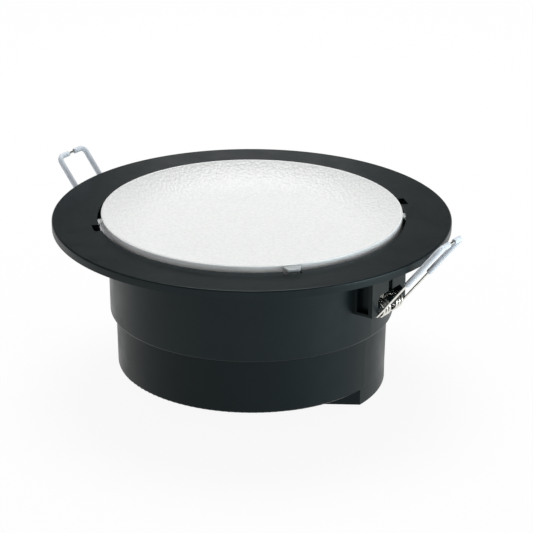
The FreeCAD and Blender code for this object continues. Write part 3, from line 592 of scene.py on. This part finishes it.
# ---------------------------------------------------------------- outlines and solids
def rounded(points, radius_of):
    """Points of an outline with the named corners rounded: radius_of[index] = radius."""
    result = []
    for i, corner in enumerate(points):
        here = Vector(corner)
        radius = radius_of.get(i, 0.0)
        if not radius:
            result.append(here)
            continue
        before = (Vector(points[i - 1]) - here).normalized()
        after = (Vector(points[(i + 1) % len(points)]) - here).normalized()
        half = before.angle(after) / 2
        reach = radius / math.tan(half)
        centre = here + (before + after).normalized() * (radius / math.sin(half))
        start = here + before * reach - centre
        end = here + after * reach - centre
        turn = start.angle(end)
        for k in range(ROUND_STEPS + 1):
            t = k / ROUND_STEPS
            spot = start * math.sin((1 - t) * turn) + end * math.sin(t * turn)
            result.append(centre + spot / math.sin(turn))
    return result


def lathe(profile, segments=TURN_SEGMENTS):
    """Verts and faces of a closed profile of (r, z, material index) turned about Z. A point on
    the axis is a pole. A profile that starts and ends on the axis isn't joined along it."""
    verts, rings = [], []
    for r, z, _ in profile:
        if r < ON_AXIS:
            rings.append([len(verts)] * segments)
            verts.append((0, 0, z))
            continue
        rings.append(list(range(len(verts), len(verts) + segments)))
        for k in range(segments):
            a = 2 * math.pi * k / segments
            verts.append((r * math.cos(a), r * math.sin(a), z))
    last = len(profile) - 1
    pairs = [(i, i + 1) for i in range(last)]
    if profile[0][0] >= ON_AXIS or profile[last][0] >= ON_AXIS:
        pairs.append((last, 0))
    faces = []
    for i, j in pairs:
        for k in range(segments):
            n = (k + 1) % segments
            corners = list(dict.fromkeys((rings[i][k], rings[j][k], rings[j][n], rings[i][n])))
            if len(corners) > 2:
                faces.append((corners, profile[i][2]))
    return verts, faces


def arc_block(name, radii, heights, half_angle, steps, material, taper):
    """Block curved about Z and centred on +X, its outer face drawn in towards both ends."""
    (r_low, r_high), (z_low, z_high) = radii, heights
    verts, faces = [], []
    for k in range(steps + 1):
        share = 2 * k / steps - 1
        a = math.radians(half_angle * share)
        reach = r_low + (r_high - r_low) * (1 - taper * abs(share) ** 4)
        for r, z in ((r_low, z_low), (reach, z_low), (reach, z_high), (r_low, z_high)):
            verts.append((r * math.cos(a), r * math.sin(a), z))
    for k in range(steps):
        for m in range(4):
            n = (m + 1) % 4
            faces.append(([4 * k + m, 4 * k + n, 4 * k + 4 + n, 4 * k + 4 + m], 0))
    faces.append(([0, 3, 2, 1], 0))
    faces.append(([4 * steps + m for m in range(4)], 0))
    return outward(mesh_piece(name, verts, faces, [material], False))


def prism(name, outline, z_low, z_high, material):
    """Upright block on an outline of (x, y) corners."""
    count = len(outline)
    verts = [(p[0], p[1], z) for z in (z_low, z_high) for p in outline]
    faces = [(list(range(count))[::-1], 0), (list(range(count, 2 * count)), 0)]
    for k in range(count):
        n = (k + 1) % count
        faces.append(([k, n, count + n, count + k], 0))
    return outward(mesh_piece(name, verts, faces, [material], False))


# ---------------------------------------------------------------- geometry node trees
def new_tree(name, inputs):
    """A geometry node tree with a Geometry socket and inputs (name, socket type, default)."""
    tree = bpy.data.node_groups.new(name, "GeometryNodeTree")
    tree.interface.new_socket("Geometry", in_out="INPUT", socket_type="NodeSocketGeometry")
    for label, kind, default in inputs:
        socket = tree.interface.new_socket(label, in_out="INPUT", socket_type=kind)
        if default is not None:
            socket.default_value = default
    tree.interface.new_socket("Geometry", in_out="OUTPUT", socket_type="NodeSocketGeometry")
    return tree, tree.nodes.new("NodeGroupInput"), tree.nodes.new("NodeGroupOutput")


def close_tree(tree, source, given, out):
    """Realize the instances and give the finish."""
    realize = tree.nodes.new("GeometryNodeRealizeInstances")
    finish = tree.nodes.new("GeometryNodeSetMaterial")
    tree.links.new(source, realize.inputs["Geometry"])
    tree.links.new(realize.outputs["Geometry"], finish.inputs["Geometry"])
    tree.links.new(given.outputs["Finish"], finish.inputs["Material"])
    tree.links.new(finish.outputs["Geometry"], out.inputs["Geometry"])
    return tree


def wire_tree():
    """Round wire along the edges of a path."""
    tree, given, out = new_tree("wire_along_path", [
        ("Wire Radius", "NodeSocketFloat", WIRE_R * MM),
        ("Sides", "NodeSocketInt", WIRE_SIDES),
        ("Finish", "NodeSocketMaterial", None)])
    curve = tree.nodes.new("GeometryNodeMeshToCurve")
    circle = tree.nodes.new("GeometryNodeCurvePrimitiveCircle")
    sweep = tree.nodes.new("GeometryNodeCurveToMesh")
    smooth = tree.nodes.new("GeometryNodeSetShadeSmooth")
    sweep.inputs["Fill Caps"].default_value = True
    tree.links.new(given.outputs["Geometry"], curve.inputs["Mesh"])
    tree.links.new(given.outputs["Sides"], circle.inputs["Resolution"])
    tree.links.new(given.outputs["Wire Radius"], circle.inputs["Radius"])
    tree.links.new(curve.outputs["Curve"], sweep.inputs["Curve"])
    tree.links.new(circle.outputs["Curve"], sweep.inputs["Profile Curve"])
    tree.links.new(sweep.outputs["Mesh"], smooth.inputs["Geometry"])
    return close_tree(tree, smooth.outputs["Geometry"], given, out)


def ring_tree():
    """Copies of the piece spaced evenly about Z."""
    tree, given, out = new_tree("copies_about_axis", [
        ("Count", "NodeSocketInt", LUG_COUNT),
        ("First Angle", "NodeSocketFloat", 0.0),
        ("Finish", "NodeSocketMaterial", None)])
    line = tree.nodes.new("GeometryNodeMeshLine")
    index = tree.nodes.new("GeometryNodeInputIndex")
    step = tree.nodes.new("ShaderNodeMath")
    angle = tree.nodes.new("ShaderNodeMath")
    turn = tree.nodes.new("ShaderNodeCombineXYZ")
    spread = tree.nodes.new("GeometryNodeInstanceOnPoints")
    step.operation, angle.operation = "DIVIDE", "MULTIPLY_ADD"
    step.inputs[0].default_value = 2 * math.pi
    line.inputs["Offset"].default_value = (0, 0, 0)
    tree.links.new(given.outputs["Count"], line.inputs["Count"])
    tree.links.new(given.outputs["Count"], step.inputs[1])
    tree.links.new(index.outputs["Index"], angle.inputs[0])
    tree.links.new(step.outputs[0], angle.inputs[1])
    tree.links.new(given.outputs["First Angle"], angle.inputs[2])
    tree.links.new(angle.outputs[0], turn.inputs["Z"])
    tree.links.new(line.outputs["Mesh"], spread.inputs["Points"])
    tree.links.new(given.outputs["Geometry"], spread.inputs["Instance"])
    tree.links.new(turn.outputs["Vector"], spread.inputs["Rotation"])
    return close_tree(tree, spread.outputs["Instances"], given, out)


def run_tree(source, tree, name, **values):
    """The tree's result on the source as a plain mesh object. The source is removed."""
    modifier = source.modifiers.new("shape", "NODES")
    modifier.node_group = tree
    for item in tree.interface.items_tree:
        key = item.name.replace(" ", "_")
        if item.item_type == "SOCKET" and item.in_out == "INPUT" and key in values:
            modifier[item.identifier] = values[key]
    mesh = evaluated_mesh(source)
    mesh.name = name
    source.modifiers.remove(modifier)
    bpy.data.objects.remove(source)
    return placed(name, mesh)


WIRE = wire_tree()
RING = ring_tree()

# ---------------------------------------------------------------- diffuser
# Places of the bowl's two finishes.
FACE, RIM = 0, 1


def dish_profile():
    """Closed outline of the diffuser: its face from the axis out, the rim, and back below."""
    wall_top_z = RIM_TOP_Z - RIM_CHAMFER
    run, rise = RIM_EDGE_R - DISH_FLOOR_R, wall_top_z - DISH_FLOOR_Z
    bend = (run * run + rise * rise) / (2 * rise)
    bend_z = DISH_FLOOR_Z + bend

    def wall_z(r, curve):
        return bend_z - math.sqrt(curve * curve - (r - DISH_FLOOR_R) ** 2)

    face = [(r, DISH_FLOOR_Z) for r in (0.0, DISH_RING_R, DISH_OUTER_RING_R, DISH_FLOOR_R)]
    for k in range(1, DISH_WALL_STEPS + 1):
        r = DISH_FLOOR_R + run * k / DISH_WALL_STEPS
        face.append((r, wall_z(r, bend)))
    foot_r = RIM_R - RIM_WALL
    rim = rounded([(RIM_EDGE_R, wall_top_z), (RIM_EDGE_R + RIM_CHAMFER, RIM_TOP_Z),
                   (RIM_R, RIM_TOP_Z), (RIM_R, RIM_LOW_Z), (foot_r, RIM_LOW_Z)],
                  {2: RIM_TOP_ROUND, 3: RIM_LOW_ROUND})
    back = []
    for k in range(DISH_BACK_STEPS + 1):
        r = foot_r - (foot_r - DISH_FLOOR_R) * k / DISH_BACK_STEPS
        back.append((r, wall_z(r, bend + DISH_T)))
    back += [(r, DISH_FLOOR_Z - DISH_T) for r in (DISH_RING_R, 0.0)]
    profile = [(r, z, FACE) for r, z in face[:-1]] + [(*face[-1], RIM)]
    profile += [(p.x, p.y, RIM) for p in rim[1:]]
    return profile + [(r, z, FACE) for r, z in back]


def finger_tab(root):
    """Flat tab with rounded outer corners, from inside the rim outwards."""
    base, tip = TAB_BASE_W / 2, TAB_TIP_W / 2
    outline = rounded([(root, -base), (RIM_R, -base), (TAB_R, -tip),
                       (TAB_R, tip), (RIM_R, base), (root, base)],
                      {2: TAB_CORNER_R, 3: TAB_CORNER_R})
    tab = prism("tab", outline, TAB_LOW_Z, TAB_LOW_Z + TAB_T, finishes["opal_tab"])
    tab = bevelled(tab, TAB_BEVEL)
    tab.data.transform(Matrix.Rotation(math.radians(TAB_AZIMUTH), 4, "Z"))
    return tab


def diffuser():
    """Dish and rim with four lugs, their ramps and the finger tab."""
    verts, faces = lathe(dish_profile())
    bowl = outward(mesh_piece("bowl", verts, faces, [finishes["opal"], finishes["opal_rim"]]))
    clear = finishes["opal_clear"]
    root = RIM_R - RIM_WALL / 2
    heights = (LUG_TOP_Z - LUG_T, LUG_TOP_Z)
    first, beside = math.radians(LUG_AZIMUTH), math.radians(RAMP_ANGLE / 2)
    lug = arc_block("lug", (root, LUG_R), heights, LUG_HALF_ANGLE, LUG_STEPS, clear, LUG_TAPER)
    ramp = arc_block("ramp", (root, RAMP_R), heights, RAMP_ANGLE / 2, RAMP_STEPS, clear,
                     RAMP_TAPER)
    lugs = run_tree(bevelled(lug, LUG_BEVEL), RING, "lugs", Count=LUG_COUNT,
                    First_Angle=first, Finish=clear)
    ramps = run_tree(ramp, RING, "ramps", Count=LUG_COUNT, First_Angle=first + beside,
                     Finish=clear)
    piece = merged("opal_diffuser", [bowl, lugs, ramps, finger_tab(root)])
    return add_piece(sharpen(piece, DISH_CREASE), "diffuser", "opal", "diffuser")


# ---------------------------------------------------------------- flange edge
def flange_edge():
    """Rounded upper edge of the flange, a skin on the housing's own edge."""
    centre_r, centre_z = FLANGE_R - FLANGE_EDGE_FILLET, FLANGE_T - FLANGE_EDGE_FILLET
    inner_r, reach = FLANGE_R - EDGE_BAND_W, FLANGE_EDGE_FILLET + EDGE_SKIN
    outline = [(inner_r, FLANGE_T + EDGE_SKIN)]
    for k in range(EDGE_STEPS + 1):
        a = math.pi / 2 * (1 - k / EDGE_STEPS)
        outline.append((centre_r + reach * math.cos(a), centre_z + reach * math.sin(a)))
    outline += [(FLANGE_R + EDGE_SKIN, EDGE_BAND_LOW_Z), (FLANGE_R - EDGE_DEPTH, EDGE_BAND_LOW_Z),
                (FLANGE_R - EDGE_DEPTH, centre_z - EDGE_DEPTH), (inner_r, FLANGE_T - EDGE_DEPTH)]
    verts, faces = lathe([(r, z, 0) for r, z in outline], EDGE_SEGMENTS)
    piece = outward(mesh_piece("flange_edge", verts, faces, [finishes["trim_black"]]))
    return add_piece(sharpen(piece, EDGE_CREASE), "housing", "trim_black")


# ---------------------------------------------------------------- spring clips
# Made for the right side and turned about Z for the left. ALONG runs up a leg and ACROSS away
# from the light.
ALONG = Vector((math.cos(LEG_ANGLE), 0, math.sin(LEG_ANGLE)))
ACROSS = Vector((math.sin(LEG_ANGLE), 0, -math.cos(LEG_ANGLE)))
PIVOT = Vector((PIVOT_X, SPRING_SHIFT, PIVOT_Z))
LEAVE = PIVOT + ACROSS * LEG_OFFSET
COIL_CENTRE = PIVOT + ACROSS * COIL_DROP


def coil_point(turns_left, side):
    """Point of the coil so many turns before the leg. The wire's last part tucks in to meet it."""
    pitch = (LEG_HALF_W - COIL_INNER_Y) / COIL_TURNS
    tuck = max(0.0, 1 - turns_left * 360 / TUCK_ANGLE)
    ease = tuck * tuck * (3 - 2 * tuck)
    radius = COIL_MEAN_R - (COIL_MEAN_R + COIL_DROP - LEG_OFFSET) * ease
    a = LEG_ANGLE - math.pi / 2 - 2 * math.pi * turns_left
    y = side * (LEG_HALF_W - pitch * turns_left)
    return COIL_CENTRE + Vector((radius * math.cos(a), y, radius * math.sin(a)))


def loop_points(start, side, end_y, corner_steps=LOOP_CORNER_STEPS):
    """Half the loop: the leg from start along it, the rounded corner, the crossbar to end_y."""
    corner_along, corner_y = LEG_LEN - LOOP_CORNER_R, LEG_HALF_W - LOOP_CORNER_R

    def at(along, y):
        return LEAVE + ALONG * along + Vector((0, side * y, 0))

    points = []
    for k in range(LEG_STEPS + 1):
        points.append(at(start + (corner_along - start) * k / LEG_STEPS, LEG_HALF_W))
    for k in range(1, corner_steps + 1):
        a = math.pi / 2 * k / corner_steps
        points.append(at(corner_along + LOOP_CORNER_R * math.sin(a),
                         corner_y + LOOP_CORNER_R * math.cos(a)))
    return points + [at(LEG_LEN, (corner_y + end_y) / 2), at(LEG_LEN, end_y)]


def turned_about(points, azimuth):
    """The points turned about Z by azimuth degrees."""
    turn = Matrix.Rotation(math.radians(azimuth), 3, "Z")
    return [turn @ p for p in points]


def wire_piece(name, points, azimuth, body, node):
    """Spring wire along the points."""
    piece = run_tree(path_object(turned_about(points, azimuth)), WIRE, name,
                     Wire_Radius=WIRE_R * MM, Sides=WIRE_SIDES, Finish=finishes["spring_steel"])
    return add_piece(sharpen(piece, WIRE_CREASE), body, "spring_steel", node)


def clip_wire(name, azimuth, body, node):
    """Both coils and the loop between them."""
    halves = []
    for side in (1, -1):
        coil = [coil_point(COIL_TURNS * k / COIL_STEPS, side) for k in range(COIL_STEPS, 0, -1)]
        halves.append(coil + loop_points(0.0, side, 0.0))
    return wire_piece(name, halves[0] + halves[1][-2::-1], azimuth, body, node)


def anchor_hook(name, azimuth, node):
    """The fixed middle bend of the wire, up into the bracket's slot."""
    low = COIL_CENTRE - Vector((COIL_MEAN_R, 0, 0))
    lean = Vector((HOOK_TOP_X, SPRING_SHIFT, HOOK_TOP_Z)) - low
    length = lean.length - HOOK_HALF_W
    lean.normalize()

    def at(up, y):
        return low + lean * up + Vector((0, y, 0))

    points = [at(0, -HOOK_HALF_W), at(length / 2, -HOOK_HALF_W)]
    for k in range(HOOK_STEPS + 1):
        a = math.pi * k / HOOK_STEPS
        points.append(at(length + HOOK_HALF_W * math.sin(a), -HOOK_HALF_W * math.cos(a)))
    points += [at(length / 2, HOOK_HALF_W), at(0, HOOK_HALF_W)]
    return wire_piece(name, points, azimuth, "housing", node)


def sleeve_stations(last):
    """Rings of a tube's closed wall: (spine point, shift along the spine, radius)."""
    wall = (SLEEVE_R - SLEEVE_BORE_R) / 2

    def rounded_end(point, sign):
        for k in range(SLEEVE_END_STEPS + 1):
            a = math.pi * k / SLEEVE_END_STEPS
            yield (point, sign * wall * (1 - math.sin(a)),
                   SLEEVE_BORE_R + wall - sign * wall * math.cos(a))

    stations = list(rounded_end(0, 1))
    stations += [(i, 0.0, SLEEVE_R) for i in range(1, last)]
    stations += rounded_end(last, -1)
    return stations + [(i, 0.0, SLEEVE_BORE_R) for i in range(last - 1, 0, -1)]


def sleeve(name, side, azimuth, body, node):
    """Soft tube on the leg and the corner, its wall rounded at both ends round the bore."""
    spine = loop_points(SLEEVE_START, side, SLEEVE_END_Y, SLEEVE_CORNER_STEPS)
    spine = turned_about(spine, azimuth)
    last = len(spine) - 1
    normal = (spine[1] - spine[0]).orthogonal().normalized()
    frames = []
    for i, point in enumerate(spine):
        ahead = (spine[min(i + 1, last)] - spine[max(i - 1, 0)]).normalized()
        normal = (normal - ahead * normal.dot(ahead)).normalized()
        frames.append((point, ahead, normal, ahead.cross(normal)))
    stations = sleeve_stations(last)
    verts, faces = [], []
    for i, shift, radius in stations:
        point, ahead, across, up = frames[i]
        for k in range(SLEEVE_SIDES):
            a = 2 * math.pi * k / SLEEVE_SIDES
            verts.append(point + ahead * shift
                         + (across * math.cos(a) + up * math.sin(a)) * radius)
    for s in range(len(stations)):
        here, there = s * SLEEVE_SIDES, (s + 1) % len(stations) * SLEEVE_SIDES
        for k in range(SLEEVE_SIDES):
            n = (k + 1) % SLEEVE_SIDES
            faces.append(([here + k, here + n, there + n, there + k], 0))
    piece = outward(mesh_piece(name, verts, faces, [finishes["sleeve_white"]]))
    return add_piece(sharpen(piece, SLEEVE_CREASE), body, "sleeve_white", node)


# ---------------------------------------------------------------- build
diffuser()
flange_edge()
for label, azimuth, front in (("right", 0, -1), ("left", 180, 1)):
    clip = label + "_clip"
    clip_wire(label + "_clip_wire", azimuth, clip, label + "_clip_spring")
    anchor_hook(label + "_wire_hook", azimuth, label + "_anchor_hook")
    sleeve(label + "_front_tube", front, azimuth, clip, label + "_front_sleeve")
    sleeve(label + "_back_tube", -front, azimuth, clip, label + "_back_sleeve")

# ---------------------------------------------------------------- stage, light and camera
FLOOR_GAP = 0.2
FLOOR_HALF = 6000.0
FLOOR_WHITE = 0.92

# Strength of the diffuse light from all round, and of what gloss mirrors from overhead. Gloss
# mirrors white up to the first height of direction, and the ceiling from the second.
SKY = 0.36
CEILING = 0.05
HORIZON_LOW, HORIZON_HIGH = 0.03, 0.30

CAMERA_PLACE = (0.73140, -1.04906, 0.49103)
CAMERA_AIM = (0.00707, 0.00486, -0.02761)
CAMERA_ROLL = 0.00489
CAMERA_LENS = 160.4
SENSOR_WIDTH = 36.0


def floor():
    """Pale matt floor, nearly white to the camera, which keeps the object's shadow."""
    tree = MaterialTree("pale_floor")
    tree.finish(tree.blend(tree.spread(tree.noise(400.0)),
                           (0.93, 0.93, 0.93), (0.95, 0.95, 0.95)))
    tree.set(Roughness=0.9, Specular_IOR_Level=0.0)
    ray = tree.add("ShaderNodeLightPath").outputs
    glow = tree.add("ShaderNodeEmission")
    glow.inputs["Color"].default_value = (1, 1, 1, 1)
    glow.inputs["Strength"].default_value = 1.0
    mix = tree.add("ShaderNodeMixShader")
    seen = tree.math("MULTIPLY", ray["Is Camera Ray"], FLOOR_WHITE)
    mirrored = tree.math("MAXIMUM", ray["Is Glossy Ray"], ray["Is Transmission Ray"])
    tree.link(tree.math("MAXIMUM", seen, mirrored), mix.inputs["Fac"])
    tree.link(tree.shader.outputs["BSDF"], mix.inputs[1])
    tree.link(glow.outputs["Emission"], mix.inputs[2])
    tree.link(mix.outputs["Shader"], tree.nodes["Material Output"].inputs["Surface"])
    half, z = FLOOR_HALF, cad_low.z / MM - FLOOR_GAP
    corners = [(-half, -half, z), (half, -half, z), (half, half, z), (-half, half, z)]
    mesh_piece("floor", corners, [([0, 1, 2, 3], 0)], [tree.material], False)


def world():
    """White to the camera, an even sky for diffuse light, a bright horizon for gloss."""
    made = bpy.data.worlds.new("studio")
    bpy.context.scene.world = made
    tree = ShaderTree(made)
    background = tree.nodes["Background"]
    background.inputs["Color"].default_value = (1, 1, 1, 1)
    ray = tree.add("ShaderNodeLightPath").outputs
    direction = tree.add("ShaderNodeTexCoord").outputs["Generated"]
    horizon = tree.remap(tree.height(direction), HORIZON_LOW, HORIZON_HIGH, 1.0, CEILING)
    mirrored = tree.math("MULTIPLY", ray["Is Glossy Ray"], horizon)
    seen = tree.math("MAXIMUM", ray["Is Camera Ray"], ray["Is Transmission Ray"])
    level = tree.math("MAXIMUM", tree.math("MAXIMUM", seen, mirrored),
                      tree.math("MULTIPLY", ray["Is Diffuse Ray"], SKY))
    tree.link(level, background.inputs["Strength"])


def aimed(place, aim):
    """Quaternion that looks from place to aim."""
    return (Vector(aim) - Vector(place)).to_track_quat("-Z", "Y")


def soft_lamp(name, place, aim, size, power, height=None, colour=(1.0, 1.0, 1.0)):
    """Round lamp, or an oblong one where a height is given. Metres and watts."""
    data = bpy.data.lights.new(name, "AREA")
    data.color = colour
    data.shape = "RECTANGLE" if height else "DISK"
    data.size = size
    data.size_y = height or size
    data.energy = power
    lamp = placed(name, data)
    lamp.visible_camera = False
    lamp.location = place
    lamp.rotation_euler = aimed(place, aim).to_euler()


def camera():
    """Camera at the photograph's viewing angle."""
    data = bpy.data.cameras.new("camera")
    data.sensor_fit = "HORIZONTAL"
    data.sensor_width = SENSOR_WIDTH
    data.lens = CAMERA_LENS
    data.clip_start, data.clip_end = 0.05, 60.0
    made = placed("camera", data)
    turn = aimed(CAMERA_PLACE, CAMERA_AIM).to_matrix() @ Matrix.Rotation(CAMERA_ROLL, 3, "Z")
    made.matrix_world = Matrix.Translation(CAMERA_PLACE) @ turn.to_4x4()
    bpy.context.scene.camera = made


floor()
world()
soft_lamp("overhead", place=(-0.33, 0.48, 1.5), aim=(0, 0, 0), size=1.0, power=19.6)
soft_lamp("low_right", place=(1.20, 0.16, -0.04), aim=(0.09, -0.02, -0.04), size=0.7,
          height=0.09, power=10.0, colour=(0.84, 0.97, 1.0))
soft_lamp("back_rim", place=(-0.40, 0.57, 0.19), aim=(0, 0, 0), size=0.2, height=0.10,
          power=0.058)
camera()
bpy.context.scene.view_settings.view_transform = "Standard"
